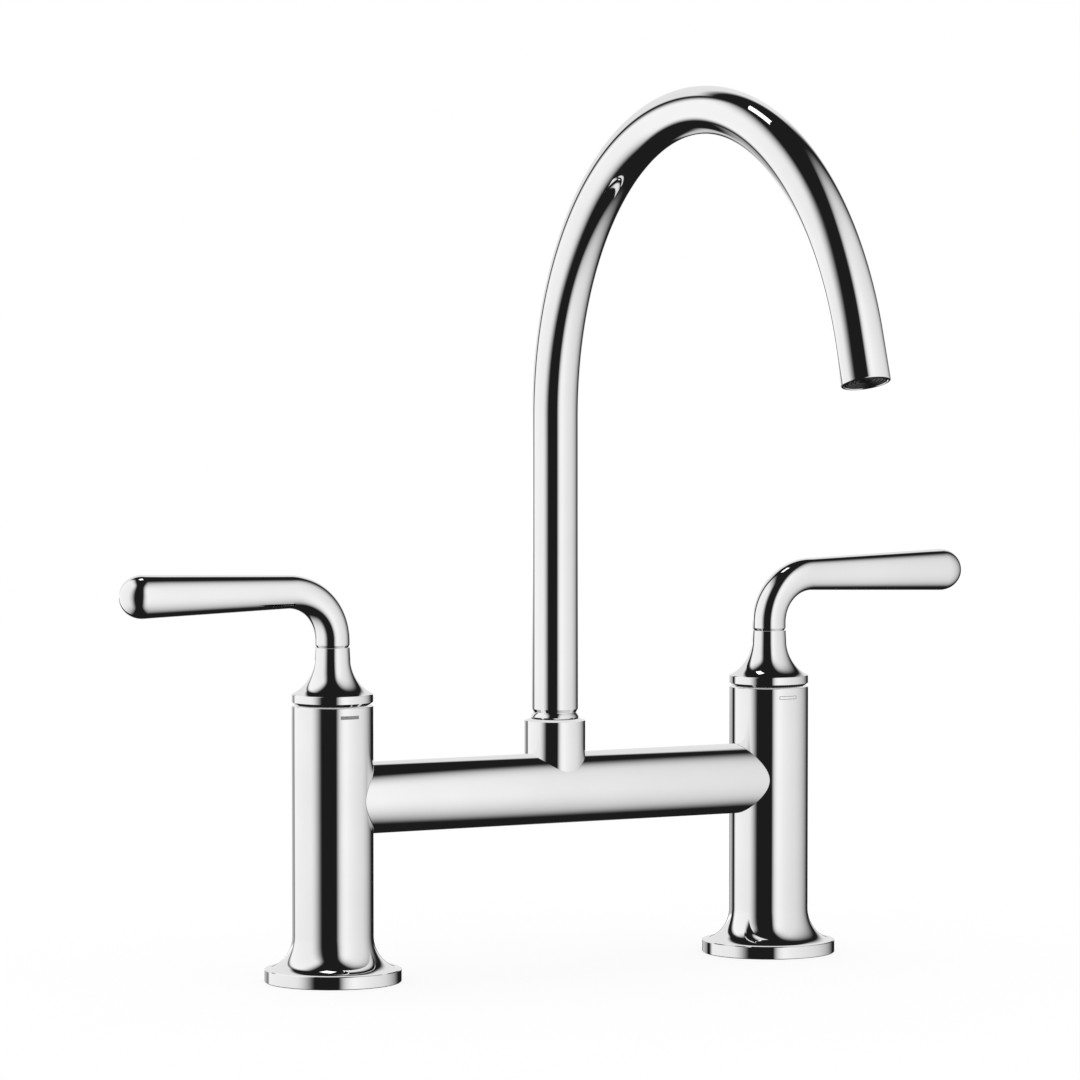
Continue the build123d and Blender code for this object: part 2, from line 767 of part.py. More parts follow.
# Spout tube: riser, swan neck and tail, bent from one length of tube
with BuildPart() as spout_tube:
    with BuildLine(Plane.YZ):
        rise = Line((0, tube_low), (0, riser_top))
        swan = CenterArc((-swan_radius, riser_top), swan_radius, 0, swan_sweep)
        drop = PolarLine(swan @ 1, tail, direction=swan % 1)
    with BuildSketch(Plane.XY.offset(tube_low)):
        Circle(tube_radius)
        Circle(tube_bore, mode=Mode.SUBTRACT)
    sweep()
    outlet = Plane(origin=drop @ 1, x_dir=(1, 0, 0), z_dir=drop % 1)
    rims = spout_tube.edges().filter_by(GeomType.CIRCLE).sort_by_distance(outlet.origin)
    fillet(rims[:2].sort_by(SortBy.RADIUS)[-1], tip_round)
    with BuildSketch(front):
        with BuildLine():
            Polyline(
                (tube_radius - tube_chamfer_inset, tube_low),
                (tube_radius + tube_chamfer_inset, tube_low),
                (tube_radius + tube_chamfer_inset, tube_low + 2 * tube_chamfer_rise),
                (tube_radius - tube_chamfer_inset, tube_low),
            )
        make_face()
    revolve(axis=spout_axis, mode=Mode.SUBTRACT)
save(spout_tube, "spout_tube")

# Aerator: a sleeve in the tail, a seal under its lip and a core of rings and spokes
with BuildPart() as aerator_housing:
    with BuildSketch(outlet.offset(-aerator_recess)):
        Circle(aerator_radius)
        Circle(aerator_bore, mode=Mode.SUBTRACT)
    extrude(amount=-aerator_length)
    with BuildSketch(outlet.offset(-aerator_recess - aerator_length)):
        Circle(aerator_radius)
        Circle(aerator_bore - aerator_lip, mode=Mode.SUBTRACT)
    extrude(amount=aerator_lip_height)
save(aerator_housing, "aerator_housing")

seal_face = outlet.offset(-aerator_recess - aerator_length + aerator_lip_height)
with BuildPart() as aerator_seal:
    with BuildSketch(seal_face):
        Circle(core_radius)
        Circle(aerator_bore - aerator_lip, mode=Mode.SUBTRACT)
    extrude(amount=aerator_seal_height)
save(aerator_seal, "aerator_seal")

with BuildPart() as aerator_core:
    with BuildSketch(seal_face.offset(aerator_seal_height)):
        outer = core_radius
        for width in (core_rim, core_ring):
            Circle(outer)
            Circle(outer - width, mode=Mode.SUBTRACT)
            outer = outer - width - core_slot
        Circle(outer)
        spoke_length = core_radius - core_rim / 2 - outer / 2
        with PolarLocations(outer / 2 + spoke_length / 2, core_spokes):
            Rectangle(spoke_length, core_spoke)
    extrude(amount=core_length)
save(aerator_core, "aerator_core")
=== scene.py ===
# %% [markdown]
# # A bridge kitchen faucet in polished chrome
#
# Two valve posts stand on the worktop, 8 inches apart, and a bridge tube carries the
# water of both to a swan-neck spout in the middle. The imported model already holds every
# piece at its true size and place. This script gives the pieces their finish, and makes
# the polished ones again with far finer meshes, because chrome shows every facet.

# %% Load the model that everything is built around
import json
from math import atan2, cos, degrees, hypot, pi, radians, sin, sqrt

import bmesh
import bpy
from mathutils import Matrix, Vector

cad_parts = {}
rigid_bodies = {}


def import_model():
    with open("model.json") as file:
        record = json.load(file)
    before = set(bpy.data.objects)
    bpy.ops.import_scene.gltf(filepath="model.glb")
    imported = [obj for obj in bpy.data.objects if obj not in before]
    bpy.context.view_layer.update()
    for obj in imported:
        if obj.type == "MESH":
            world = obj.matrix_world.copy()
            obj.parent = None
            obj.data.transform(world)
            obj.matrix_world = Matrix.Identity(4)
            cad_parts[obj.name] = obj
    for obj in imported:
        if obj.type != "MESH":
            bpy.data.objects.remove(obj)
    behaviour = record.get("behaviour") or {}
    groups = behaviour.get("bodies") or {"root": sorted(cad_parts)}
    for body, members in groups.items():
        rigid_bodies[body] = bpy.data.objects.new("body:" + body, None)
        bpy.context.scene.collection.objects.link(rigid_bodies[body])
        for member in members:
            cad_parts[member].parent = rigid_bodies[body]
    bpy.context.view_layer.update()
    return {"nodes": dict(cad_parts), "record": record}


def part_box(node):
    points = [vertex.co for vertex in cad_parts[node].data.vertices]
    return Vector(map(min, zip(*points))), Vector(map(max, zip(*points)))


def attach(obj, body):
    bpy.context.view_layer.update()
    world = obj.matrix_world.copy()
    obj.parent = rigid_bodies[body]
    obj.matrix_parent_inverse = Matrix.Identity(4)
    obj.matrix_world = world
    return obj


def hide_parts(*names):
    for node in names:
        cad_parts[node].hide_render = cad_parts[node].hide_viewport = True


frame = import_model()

mm = 0.001
SIDES = {"hot": -1, "cold": 1}  # which way along X each side's lever points
print("pieces in the model:", len(frame["nodes"]))

# %% [markdown]
# ## Sizes
#
# A faucet is mostly turned and bent tube, so a few radii and heights say nearly all of
# it. They are read from the model's boxes, in millimetres, and only what a box can't say,
# such as the radius of a flare, is written down here as a number.

# %% Read the main sizes from the model


def box_mm(node):
    """Lowest and highest corner of a piece of the model, in millimetres."""
    low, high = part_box(node)
    return low / mm, high / mm


post_low, post_high = box_mm("cold_post")
hub_low, hub_high = box_mm("cold_hub")
lever_low, lever_high = box_mm("cold_lever")
bridge_low, bridge_high = box_mm("bridge_tube")
socket_low, socket_high = box_mm("spout_socket")
stem_low, _ = box_mm("spout_stem")
tube_low, tube_high = box_mm("spout_tube")
shank_low, shank_high = box_mm("cold_shank")

valve_x = (post_low.x + post_high.x) / 2
flange_radius = (post_high.x - post_low.x) / 2
post_top = post_high.z
bridge_z = (bridge_low.z + bridge_high.z) / 2
bridge_radius = (bridge_high.z - bridge_low.z) / 2
tube_radius = (tube_high.x - tube_low.x) / 2
print(f"valves at {valve_x:.1f} mm, post top {post_top:.1f}, tube radius {tube_radius:.2f}")

# %% [markdown]
# ## Helpers for turned and bent pieces
#
# A lathe piece is an outline spun about an axis. The outline is drawn like a pen line: a
# vertex is put down, then pulled to the next place with `extrude_vert_indiv`, or swung
# round a centre with `spin`, which leaves an arc behind it. The same `spin` then turns
# the whole outline through 360 degrees. Work is in millimetres, with X as the radius.

# %% Draw an outline with a pen and turn it on the lathe
AROUND = 160  # steps of a full turn
MERGE = 0.0005  # corners closer than this are one


def pen_down(bm, radius, height):
    """Start an outline at a radius and a height."""
    return bm.verts.new((radius, 0, height))


def line(bm, pen, *stops):
    """Pull the pen through a row of (radius, height) stops."""
    for radius, height in stops:
        pen = bmesh.ops.extrude_vert_indiv(bm, verts=[pen])["verts"][0]
        pen.co = (radius, 0, height)
    return pen


def arc(bm, pen, centre, turn, steps):
    """Swing the pen about a centre, anticlockwise when the turn is positive."""
    swung = bmesh.ops.spin(
        bm,
        geom=[pen],
        cent=(centre[0], 0, centre[1]),
        axis=(0, -1, 0),
        angle=radians(turn),
        steps=steps,
    )
    return swung["geom_last"][0]


def close(bm, pen, first):
    """Join the outline's end to its start."""
    bm.edges.new((pen, first))


def lathe(bm, steps=AROUND):
    """Spin the outline once round the Z axis and close the seam."""
    bmesh.ops.spin(
        bm,
        geom=bm.verts[:] + bm.edges[:],
        cent=(0, 0, 0),
        axis=(0, 0, 1),
        angle=2 * pi,
        steps=steps,
        use_merge=True,
    )
    bmesh.ops.remove_doubles(bm, verts=bm.verts, dist=MERGE)


# %% Grow a tube ring by ring


def lift(height):
    """A matrix that moves straight up."""
    return Matrix.Translation((0, 0, height))


def circle(bm, radius, steps, place=Matrix.Identity(4)):
    """An open ring of edges, lying in the XY plane of its place."""
    made = bmesh.ops.create_circle(bm, segments=steps, radius=radius, matrix=place)
    return list(dict.fromkeys(edge for vert in made["verts"] for edge in vert.link_edges))


def grow(bm, ring, move):
    """Extrude a ring of edges once and carry the new ring by a matrix."""
    grown = bmesh.ops.extrude_edge_only(bm, edges=ring)["geom"]
    verts = [item for item in grown if isinstance(item, bmesh.types.BMVert)]
    bmesh.ops.transform(bm, matrix=move, verts=verts)
    return [item for item in grown if isinstance(item, bmesh.types.BMEdge) and item.is_boundary]


def add_to(bm, part):
    """Put one bmesh into another."""
    mesh = bpy.data.meshes.new("part")
    part.to_mesh(mesh)
    part.free()
    bm.from_mesh(mesh)
    bpy.data.meshes.remove(mesh)


def about(centre, turn):
    """Carry out a turn or a scale about a centre instead of the origin."""
    return Matrix.Translation(centre) @ turn @ Matrix.Translation(-centre)


def corners(ring):
    """The corners of a ring of edges, each once."""
    return list(dict.fromkeys(vert for edge in ring for vert in edge.verts))


def rescale(ring, factor):
    """A matrix that scales a ring about its middle."""
    verts = corners(ring)
    middle = sum((vert.co for vert in verts), Vector()) / len(verts)
    return about(middle, Matrix.Scale(factor, 4))


def round_edges(bm, edges, offset, segments):
    """Take edges off, flat with one segment and round with more."""
    bmesh.ops.bevel(
        bm,
        geom=edges,
        offset=offset,
        segments=segments,
        profile=0.5,
        affect="EDGES",
        material=-1,
    )


# %% Turn a finished bmesh into a piece of the faucet
SHARP = radians(24)  # edges that turn more than this stay crisp


def finish_piece(bm, name, body, slot, stands_for=(), place=Matrix.Identity(4), finish=None):
    """Scale to metres, set it in place, shade it, and let it ride on its body."""
    bmesh.ops.transform(bm, matrix=Matrix.Scale(mm, 4) @ place, verts=bm.verts)
    bmesh.ops.recalc_face_normals(bm, faces=bm.faces)
    for face in bm.faces:
        face.smooth = True
    for edge in bm.edges:
        edge.smooth = edge.is_manifold and edge.calc_face_angle(0) < SHARP
    mesh = bpy.data.meshes.new(name)
    open_edges = sum(edge.is_boundary for edge in bm.edges)
    volume = bm.calc_volume() / mm**3
    print(f"{name}: {len(bm.faces)} faces, {open_edges} open edges, {volume:.0f} mm3")
    bm.to_mesh(mesh)
    bm.free()
    mesh.materials.append(finish or finish_of_slot[slot])
    piece = bpy.data.objects.new(name, mesh)
    bpy.context.scene.collection.objects.link(piece)
    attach(piece, body)
    if stands_for:
        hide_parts(*stands_for)
    return piece


def side_place(side):
    """Set a piece on its valve's axis, turned so that its X points outward."""
    turn = Matrix.Rotation(0 if side == "cold" else pi, 4, "Z")
    return Matrix.Translation((SIDES[side] * valve_x, 0, 0)) @ turn


def finish_on_side(bm, side, node, way, body, slot):
    """Finish a piece that both valves have, in place of the model's own."""
    name = f"{side}_{node}"
    finish_piece(bm, f"{name}_{way}", body, slot, [name], side_place(side))


# %% [markdown]
# ## Finishes
#
# Chrome is a mirror with very little colour of its own, so its look is what it reflects.
# What the eye still reads as metal and not as computer mirror is slight: polishing leaves
# patches that are a touch softer, and fine hairlines. Both come from noise on Object
# coordinates, which stays put on the piece. The hidden pieces get honest finishes too:
# lathe-turned brass, brushed steel, moulded plastic, rubber and lapped ceramic.

# %% Small helpers for node materials


def new_material(name, **sockets):
    """A Principled material whose fixed numbers sit on the shader's own sockets."""
    material = bpy.data.materials.new(name)
    material.use_nodes = True
    shader = material.node_tree.nodes["Principled BSDF"]
    for socket, value in sockets.items():
        shader.inputs[socket.title()].default_value = value
    return material, material.node_tree, shader


def noise(tree, scale, detail=3.0, stretch=(1, 1, 1)):
    """Noise on the piece's own coordinates, finer along an axis with more stretch."""
    coordinates = tree.nodes.new("ShaderNodeTexCoord")
    mapping = tree.nodes.new("ShaderNodeMapping")
    mapping.inputs["Scale"].default_value = stretch
    texture = tree.nodes.new("ShaderNodeTexNoise")
    texture.inputs["Scale"].default_value = scale
    texture.inputs["Detail"].default_value = detail
    tree.links.new(coordinates.outputs["Object"], mapping.inputs["Vector"])
    tree.links.new(mapping.outputs["Vector"], texture.inputs["Vector"])
    return texture.outputs["Fac"]


def fade(tree, value, start, end, before, after, kind="SMOOTHSTEP"):
    """Run from one level to another while a value goes from start to end."""
    node = tree.nodes.new("ShaderNodeMapRange")
    node.interpolation_type = kind
    ends = {"From Min": start, "From Max": end, "To Min": before, "To Max": after}
    for socket, number in ends.items():
        node.inputs[socket].default_value = number
    tree.links.new(value, node.inputs["Value"])
    return node.outputs["Result"]


def spread(tree, value, low, high):
    """Map the useful middle of a noise to a range."""
    return fade(tree, value, 0.3, 0.7, low, high, kind="LINEAR")


def tint(tree, shader, value, dark, light):
    """Let a noise move the base colour between two shades."""
    node = tree.nodes.new("ShaderNodeMix")
    node.data_type = "RGBA"
    node.inputs["A"].default_value = (*dark, 1)
    node.inputs["B"].default_value = (*light, 1)
    tree.links.new(value, node.inputs["Factor"])
    tree.links.new(node.outputs["Result"], shader.inputs["Base Color"])


def bump(tree, shader, value, height, strength):
    """Raise the surface by a noise, with a height in metres."""
    node = tree.nodes.new("ShaderNodeBump")
    node.inputs["Distance"].default_value = height
    node.inputs["Strength"].default_value = strength
    tree.links.new(value, node.inputs["Height"])
    tree.links.new(node.outputs["Normal"], shader.inputs["Normal"])


# %% The finishes themselves


def polished_chrome():
    """Bright chrome plate: a mirror with soft polishing patches and faint hairlines."""
    material, tree, shader = new_material("polished_chrome", metallic=1.0)
    patches = spread(tree, noise(tree, 38.0, 2.0), 0, 1)
    hairlines = noise(tree, 900.0, 2.0, stretch=(1, 1, 0.06))
    tint(tree, shader, patches, (0.875, 0.875, 0.877), (0.905, 0.905, 0.907))
    tree.links.new(spread(tree, hairlines, 0.012, 0.035), shader.inputs["Roughness"])
    return material


def turned_brass():
    """Brass off the lathe: fine rings across the axis and a slightly uneven colour."""
    material, tree, shader = new_material("turned_brass", metallic=1.0)
    rings = noise(tree, 260.0, 4.0, stretch=(0.05, 0.05, 18))
    tint(tree, shader, spread(tree, noise(tree, 90.0), 0, 1), (0.6, 0.43, 0.19), (0.74, 0.57, 0.3))
    tree.links.new(spread(tree, rings, 0.2, 0.38), shader.inputs["Roughness"])
    bump(tree, shader, rings, 0.00002, 0.35)
    return material


def brushed_steel():
    """Stainless hardware with a fine directionless brush."""
    material, tree, shader = new_material("brushed_steel", metallic=1.0)
    grain = noise(tree, 1400.0, 5.0, stretch=(1, 0.15, 1))
    tint(tree, shader, spread(tree, grain, 0, 1), (0.48, 0.48, 0.49), (0.66, 0.66, 0.67))
    tree.links.new(spread(tree, grain, 0.24, 0.42), shader.inputs["Roughness"])
    return material


def black_rubber():
    """Moulded rubber: nearly black, with a fine skin."""
    material, tree, shader = new_material("black_rubber", roughness=0.68)
    skin = noise(tree, 1600.0, 4.0)
    tint(tree, shader, spread(tree, skin, 0, 1), (0.014, 0.014, 0.015), (0.03, 0.03, 0.031))
    bump(tree, shader, skin, 0.00004, 0.4)
    return material


def moulded_plastic(name, dark, light):
    """Moulded plastic with a satin skin."""
    material, tree, shader = new_material(name, roughness=0.42)
    skin = noise(tree, 700.0, 3.0)
    tint(tree, shader, spread(tree, skin, 0, 1), dark, light)
    bump(tree, shader, skin, 0.00002, 0.25)
    return material


def lapped_ceramic():
    """Alumina ground flat: off-white, very smooth, with faint grain."""
    material, tree, shader = new_material("lapped_ceramic", roughness=0.12)
    grain = noise(tree, 2200.0, 2.0)
    tint(tree, shader, spread(tree, grain, 0, 1), (0.78, 0.76, 0.7), (0.87, 0.85, 0.8))
    return material


def etched_chrome():
    """Chrome dulled by etching, for the marks on the posts."""
    material, tree, shader = new_material("etched_chrome", metallic=0.3)
    hatch = noise(tree, 1500.0, 3.0, stretch=(1, 1, 0.3))
    tint(tree, shader, spread(tree, hatch, 0, 1), (0.3, 0.3, 0.31), (0.42, 0.42, 0.43))
    tree.links.new(spread(tree, hatch, 0.5, 0.7), shader.inputs["Roughness"])
    return material


chrome = polished_chrome()
brass = turned_brass()
steel = brushed_steel()
rubber = black_rubber()
white_plastic = moulded_plastic("white_plastic", (0.66, 0.66, 0.64), (0.76, 0.76, 0.74))
dark_plastic = moulded_plastic("dark_plastic", (0.02, 0.02, 0.021), (0.035, 0.035, 0.036))
ceramic = lapped_ceramic()
etched = etched_chrome()

# %% [markdown]
# ## Pieces that keep the model's own shape
#
# Seals, discs, spindles and screws sit inside the posts and the socket, where the model's
# meshes are right as they are. They only need their finish, which is picked by the
# material slot that the record gives each of them.

# %% Give every piece of the model its finish by slot
finish_of_slot = {
    "chrome_body": chrome,
    "chrome_handle": chrome,
    "chrome_spout": chrome,
    "brass_fitting": brass,
    "steel_hardware": steel,
    "black_rubber": rubber,
    "white_plastic": white_plastic,
    "grey_plastic": dark_plastic,
    "ceramic": ceramic,
}
slot_of = {part["node"]: part["material_slot"] for part in frame["record"]["subparts"]}
for node, piece in frame["nodes"].items():
    piece.data.materials.clear()
    piece.data.materials.append(finish_of_slot[slot_of[node]])
print("finishes:", len(finish_of_slot))

# %% [markdown]
# ## The posts
#
# Each post is one turning: a thin round flange on the worktop, a concave flare tangent to
# the column, and a plain column up to the hub. It is bored out in steps for the shank, the
# valve seat and the cartridge, so the outline is a closed loop that runs up the outside
# and down through the bore. The tiny flats at the flange's edges catch a line of light.

# %% Turn the two posts
post_radius = 16.45
flare_radius = 14.0
flare_turn = 70.0
flange_rim = 5.3
rim_break = 0.3  # edges of the flange, broken by the lathe tool
top_break = 0.12
glide_rebate = (14.25, 0.8)  # radius and depth of the rebate for the glide ring
# radius and lowest height of each bore, from the top down
bores = ((13.3, 96.0), (10.53, 85.86), (9.8, 61.24), (5.7, 58.24), (7.5, 14.0))
shank_socket = 13.15  # radius of the lowest bore, where the shank screws in
column_start = 1.0  # first short step of the column, which keeps the flare's shading off it
FLARE_STEPS = 40


def turn_post(side):
    """Turn one post, outside first, then down through its stepped bore."""
    bm = bmesh.new()
    turn = radians(flare_turn)
    flare_centre = (post_radius + flare_radius, flange_rim + flare_radius * sin(turn))
    first = pen = pen_down(bm, flange_radius - rim_break, 0)
    pen = line(bm, pen, (flange_radius, rim_break), (flange_radius, flange_rim - rim_break))
    pen = line(bm, pen, (flange_radius - rim_break, flange_rim))
    pen = line(bm, pen, (flare_centre[0] - flare_radius * cos(turn), flange_rim))
    pen = arc(bm, pen, flare_centre, -flare_turn, FLARE_STEPS)
    pen = line(bm, pen, (post_radius, flare_centre[1] + column_start))
    pen = line(bm, pen, (post_radius, post_top - top_break))
    pen = line(bm, pen, (post_radius - top_break, post_top), (glide_rebate[0], post_top))
    pen = line(bm, pen, (glide_rebate[0], post_top - glide_rebate[1]))
    pen = line(bm, pen, (bores[0][0], post_top - glide_rebate[1]))
    for (radius, low), (deeper, _) in zip(bores, (*bores[1:], (shank_socket, 0))):
        pen = line(bm, pen, (radius, low), (deeper, low))
    pen = line(bm, pen, (shank_socket, 0))
    close(bm, pen, first)
    lathe(bm)
    finish_on_side(bm, side, "post", "turned", "faucet_body", "chrome_body")


for side in SIDES:
    turn_post(side)

# %% [markdown]
# ## The marks on the posts
#
# A short bar is etched near the top of each post: filled on the hot side, and only its
# outline on the cold side. A bar is one small upright face swept a few degrees round the
# post, which keeps it on the curve. It stands two hundredths of a millimetre proud.

# %% Etch the marks
mark_turn = 28.6
mark_low, mark_high = 107.5, 108.9
mark_line = 0.22
mark_skin = 0.02
MARK_STEP = 2.0  # degrees of sweep for each face


def lay_strip(bm, start, turn, low, high):
    """Sweep a thin upright face round the post's front, by degrees from its middle."""
    pen = first = pen_down(bm, post_radius - mark_skin, low)
    pen = line(bm, pen, (post_radius + mark_skin, low), (post_radius + mark_skin, high))
    pen = line(bm, pen, (post_radius - mark_skin, high))
    close(bm, pen, first)
    verts = [vert for vert in bm.verts if not vert.link_faces]
    face_front = Matrix.Rotation(radians(start - 90), 3, "Z")
    bmesh.ops.rotate(bm, verts=verts, cent=(0, 0, 0), matrix=face_front)
    edges = dict.fromkeys(edge for vert in verts for edge in vert.link_edges)
    face = bmesh.ops.contextual_create(bm, geom=list(edges))["faces"]
    steps = max(1, round(turn / MARK_STEP))
    bmesh.ops.spin(bm, geom=face, cent=(0, 0, 0), axis=(0, 0, 1), angle=radians(turn), steps=steps)


def etch_mark(side):
    """A filled bar for hot, four thin strips for cold."""
    bm = bmesh.new()
    start, line_turn = -mark_turn / 2, degrees(mark_line / post_radius)
    if side == "hot":
        lay_strip(bm, start, mark_turn, mark_low, mark_high)
    else:
        inner_low, inner_high = mark_low + mark_line, mark_high - mark_line
        lay_strip(bm, start, mark_turn, mark_low, inner_low)
        lay_strip(bm, start, mark_turn, inner_high, mark_high)
        lay_strip(bm, start, line_turn, inner_low, inner_high)
        lay_strip(bm, -start - line_turn, line_turn, inner_low, inner_high)
    place = Matrix.Translation((SIDES[side] * valve_x, 0, 0))
    finish_piece(bm, f"{side}_mark", "faucet_body", "chrome_body", place=place, finish=etched)


for side in SIDES:
    etch_mark(side)

# %% [markdown]
# ## Shanks and nuts
#
# Under the worktop everything is threaded. A thread is a helix, and `spin` makes one when
# it is given a climb for every step. Here a whole column of teeth makes one turn while it
# climbs one pitch, so each tooth ends where the next one began and the seam closes. The
# ragged ends are cut off flat with `bisect_plane`, which also cuts the six flats of a nut.

# %% Cut the threads of the two shanks
shank_radius = (shank_high.x - shank_low.x) / 2
shank_bore = 7.5
shank_pitch, shank_tooth = 1.5, 0.88
inlet_radius, inlet_length = 10.48, 14.0
inlet_pitch, inlet_tooth = 1.814, 1.1
crest_start, crest_end, root_start = 0.38, 0.5, 0.88  # as shares of a pitch
lead_in = 1.0
THREAD_AROUND = 72


def slice_off(bm, point, way):
    """Cut by a plane, throw away what lies on its far side, and return the cut edges."""
    everything = bm.verts[:] + bm.edges[:] + bm.faces[:]
    cut = bmesh.ops.bisect_plane(
        bm, geom=everything, plane_co=point, plane_no=way, clear_outer=True
    )
    return [item for item in cut["geom_cut"] if isinstance(item, bmesh.types.BMEdge)]


def cut_thread(radius, tooth, pitch, low, high):
    """A threaded surface between two heights, open at both ends."""
    bm = bmesh.new()
    root = radius - tooth
    start = low - 2 * pitch  # two turns to spare at either end, which are cut off
    pen = pen_down(bm, root, start)
    for count in range(int((high - low) / pitch) + 5):
        at = start + count * pitch
        pen = line(bm, pen, (radius, at + crest_start * pitch), (radius, at + crest_end * pitch))
        pen = line(bm, pen, (root, at + root_start * pitch), (root, at + pitch))
    bmesh.ops.spin(
        bm,
        geom=bm.verts[:] + bm.edges[:],
        cent=(0, 0, 0),
        axis=(0, 0, 1),
        dvec=(0, 0, pitch / THREAD_AROUND),
        angle=2 * pi,
        steps=THREAD_AROUND,
    )
    bmesh.ops.remove_doubles(bm, verts=bm.verts, dist=MERGE)
    for height, way in ((low, -1), (high, 1)):
        slice_off(bm, (0, 0, height), (0, 0, way))
    return bm


def lead_into(bm, radius, low, high):
    """Shave the teeth to a cone at both ends, which lets a nut start easily."""
    for vert in bm.verts:
        inside = min(vert.co.z - low, high - vert.co.z)
        most, now = radius - max(0, lead_in - inside), hypot(vert.co.x, vert.co.y)
        if now > most:
            vert.co.x *= most / now
            vert.co.y *= most / now


def ends_at(bm, height):
    """The open edges that lie at a height."""
    rims = [edge for edge in bm.edges if edge.is_boundary]
    return [edge for edge in rims if all(abs(vert.co.z - height) < 0.001 for vert in edge.verts)]


def thread_shank(side):
    """The shank's long thread, the supply's thread under it, and the bore through both."""
    inlet_top = shank_low.z + inlet_length
    bm = cut_thread(shank_radius, shank_tooth, shank_pitch, inlet_top, shank_high.z)
    lead_into(bm, shank_radius, inlet_top, shank_high.z)
    supply = cut_thread(inlet_radius, inlet_tooth, inlet_pitch, shank_low.z, inlet_top)
    lead_into(supply, inlet_radius, shank_low.z, inlet_top)
    add_to(bm, supply)
    bmesh.ops.triangle_fill(bm, edges=ends_at(bm, inlet_top), use_beauty=True)
    bore = circle(bm, shank_bore, THREAD_AROUND, lift(shank_low.z))
    grow(bm, bore, lift(shank_high.z - shank_low.z))
    for height in (shank_low.z, shank_high.z):
        bmesh.ops.triangle_fill(bm, edges=ends_at(bm, height), use_beauty=True)
    finish_on_side(bm, side, "shank", "threaded", "faucet_body", "brass_fitting")


for side in SIDES:
    thread_shank(side)

# %% Slice the two nuts and turn the rings above them
nut_low, nut_high = box_mm("cold_deck_nut")
washer_low, washer_high = box_mm("cold_deck_washer")
gasket_low, gasket_high = box_mm("cold_deck_gasket")
nut_flats = (nut_high.y - nut_low.y) / 2
nut_chamfer_inset, nut_chamfer_rise = 3.2, 1.7
nut_play, ring_play = 0.05, 0.3  # gaps round the shank
washer_edge, gasket_edge = 0.4, 0.8  # radii of the rounded edges
NUT_AROUND = 144
EDGE_STEPS = 6


def slice_nut(side):
    """A turned disc with chamfered rims, sliced to a hexagon."""
    bm = bmesh.new()
    bore = shank_radius + nut_play
    corner = nut_flats / cos(radians(30)) + 0.01  # a hair past the hexagon's own corners
    end = corner - nut_chamfer_inset
    first = pen = pen_down(bm, bore, nut_low.z)
    pen = line(bm, pen, (end, nut_low.z), (corner, nut_low.z + nut_chamfer_rise))
    pen = line(bm, pen, (corner, nut_high.z - nut_chamfer_rise), (end, nut_high.z))
    pen = line(bm, pen, (bore, nut_high.z))
    close(bm, pen, first)
    lathe(bm, steps=NUT_AROUND)
    for flat in range(6):
        out = Matrix.Rotation(radians(30 + 60 * flat), 3, "Z") @ Vector((1, 0, 0))
        bmesh.ops.contextual_create(bm, geom=slice_off(bm, out * nut_flats, out))
    finish_on_side(bm, side, "deck_nut", "sliced", "faucet_body", "brass_fitting")


def turn_ring(side, part, low, high, edge, slot):
    """A flat ring round the shank with its outer edges rounded."""
    bm = bmesh.new()
    outer, inner = (high.x - low.x) / 2, shank_radius + ring_play
    first = pen = pen_down(bm, inner, low.z)
    pen = line(bm, pen, (outer - edge, low.z))
    pen = arc(bm, pen, (outer - edge, low.z + edge), 90, EDGE_STEPS)
    pen = line(bm, pen, (outer, high.z - edge))
    pen = arc(bm, pen, (outer - edge, high.z - edge), 90, EDGE_STEPS)
    pen = line(bm, pen, (inner, high.z))
    close(bm, pen, first)
    lathe(bm)
    finish_on_side(bm, side, part, "turned", "faucet_body", slot)


for side in SIDES:
    slice_nut(side)
    turn_ring(side, "deck_washer", washer_low, washer_high, washer_edge, "steel_hardware")
    turn_ring(side, "deck_gasket", gasket_low, gasket_high, gasket_edge, "black_rubber")

# %% [markdown]
# ## The hubs
#
# The hub turns with the lever. Its collar stands half a millimetre over the post, with a
# chamfer underneath that makes the dark joint line, and its flank is one concave arc up to
# a short neck. Inside are the bores for the spline adapter, the hub screw and the stud.

# %% Turn the two hubs
hub_radius = (hub_high.x - hub_low.x) / 2
hub_flare = 16.4
collar_top = hub_low.z + 4.2
collar_break = 0.12
chamfer_inset, chamfer_rise = 1.5, 1.1
neck_root, neck_tip = 7.2, 7.0
neck_rise = 4.05
adapter_bore, screw_bore, stud_bore = 6.86, 2.15, 4.05
adapter_top, web_top = 121.1, 124.1


def turn_hub(side):
    """Turn one hub as a closed loop."""
    bm = bmesh.new()
    centre = (neck_root + hub_flare, hub_high.z - neck_rise)
    start = atan2(centre[1] - collar_top, centre[0] - hub_radius + collar_break)
    shoulder = (centre[0] - hub_flare * cos(start), centre[1] - hub_flare * sin(start))
    first = pen = pen_down(bm, adapter_bore, hub_low.z)
    pen = line(bm, pen, (hub_radius - chamfer_inset, hub_low.z))
    pen = line(bm, pen, (hub_radius, hub_low.z + chamfer_rise))
    pen = line(bm, pen, (hub_radius, collar_top - collar_break), shoulder)
    pen = arc(bm, pen, centre, -degrees(start), FLARE_STEPS)
    pen = line(bm, pen, (neck_tip, hub_high.z), (stud_bore, hub_high.z), (stud_bore, web_top))
    pen = line(bm, pen, (screw_bore, web_top), (screw_bore, adapter_top))
    pen = line(bm, pen, (adapter_bore, adapter_top))
    close(bm, pen, first)
    lathe(bm)
    finish_on_side(bm, side, "hub", "turned", f"{side}_handle", "chrome_handle")


for side in SIDES:
    turn_hub(side)

